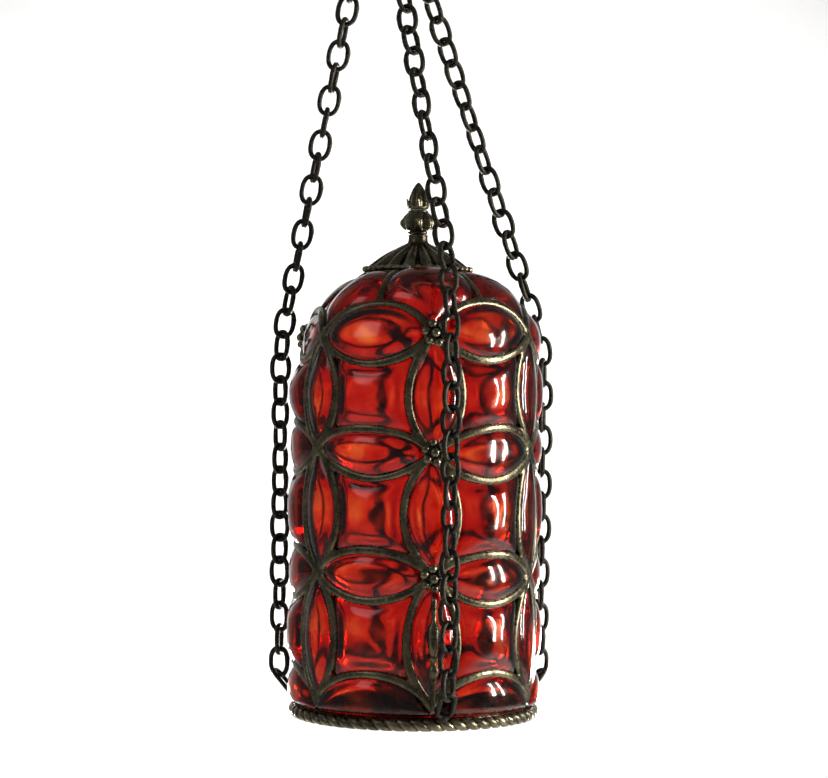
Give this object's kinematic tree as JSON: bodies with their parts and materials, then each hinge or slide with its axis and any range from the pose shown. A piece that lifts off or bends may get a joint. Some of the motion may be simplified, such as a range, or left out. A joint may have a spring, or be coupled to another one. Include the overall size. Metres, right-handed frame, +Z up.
{
  "type": "hanging lantern",
  "caption": "Hanging candle lantern: ruby glass blown into a bronze wire cage, rope-twist base ring, fluted cap with bud finial, hung by link chains from a crown and ring.",
  "frame": {"origin": "the point inside the top of the hanging ring where it bears on the hook that holds it", "axes": "+Z up, -Y towards the front of the lantern, +X to its right"},
  "size_m": [0.1454, 0.1394, 0.439],
  "materials": {
    "antique_bronze": "dark olive-brown antique bronze with worn bright edges and green patina in the hollows",
    "ruby_glass": "clear deep ruby glass, fire-polished",
    "black_iron": "blackened iron wire, worn to grey where the links rub",
    "tealight_tin": "thin pressed foil",
    "candle_wax": "smooth wax",
    "wick_cotton": "waxed cotton"
  },
  "bodies": {
    "hanging_ring": {"hanging_ring": "black_iron"},
    "swivel": {"swivel_eye": "black_iron", "crown_drop": "antique_bronze"},
    "lantern": {"crown": "antique_bronze", "crown_hook_front": "black_iron", "crown_hook_right": "black_iron", "crown_hook_left": "black_iron", "chain_front_lower": "black_iron", "chain_front_upper": "black_iron", "chain_right_lower": "black_iron", "chain_right_upper": "black_iron", "chain_left_lower": "black_iron", "chain_left_upper": "black_iron", "chain_lug_front": "black_iron", "chain_lug_right": "black_iron", "chain_lug_left": "black_iron", "base_ring": "antique_bronze", "base_gallery": "antique_bronze", "glass_body": "ruby_glass", "cage_stave_1": "antique_bronze", "cage_stave_2": "antique_bronze", "cage_stave_3": "antique_bronze", "cage_stave_4": "antique_bronze", "cage_stave_5": "antique_bronze", "cage_stave_6": "antique_bronze", "rosette_front_low": "antique_bronze", "rosette_front_middle": "antique_bronze", "rosette_front_top": "antique_bronze", "rosette_right_low": "antique_bronze", "rosette_right_middle": "antique_bronze", "rosette_right_top": "antique_bronze", "rosette_left_low": "antique_bronze", "rosette_left_middle": "antique_bronze", "rosette_left_top": "antique_bronze", "drop_front": "antique_bronze", "drop_right": "antique_bronze", "drop_left": "antique_bronze", "top_collar": "antique_bronze", "top_bridge": "antique_bronze"},
    "cap": {"cap": "antique_bronze", "cap_beads": "antique_bronze"},
    "finial": {"finial_bud": "antique_bronze", "finial_spear": "antique_bronze"},
    "candle_tray": {"candle_tray": "antique_bronze", "candle_cup": "antique_bronze"},
    "tealight": {"tealight_case": "tealight_tin", "tealight_wax": "candle_wax", "tealight_wick": "wick_cotton"}
  },
  "joints": [
    {"name": "ring_swing", "type": "hinge", "parent": "hanging_ring", "child": "swivel", "pos_m": [0, 0, -0.02225], "axis": [1, 0, 0], "range_deg": [-45, 45]},
    {"name": "lantern_swivel", "type": "hinge", "parent": "swivel", "child": "lantern", "pos_m": [0, 0, -0.0327], "axis": [0, 0, 1], "continuous": true},
    {"name": "cap_lift", "type": "slide", "parent": "lantern", "child": "cap", "axis": [0, 0, 1], "range_m": [0, 0.06]},
    {"name": "finial_screw", "type": "hinge", "parent": "cap", "child": "finial", "pos_m": [0.0165, 0, -0.1952], "axis": [0, 0, 1], "continuous": true},
    {"name": "tray_drop", "type": "slide", "parent": "lantern", "child": "candle_tray", "axis": [0, 0, -1], "range_m": [0, 0.1]},
    {"name": "tealight_lift", "type": "slide", "parent": "candle_tray", "child": "tealight", "axis": [0, 0, 1], "range_m": [0, 0.03]}
  ]
}
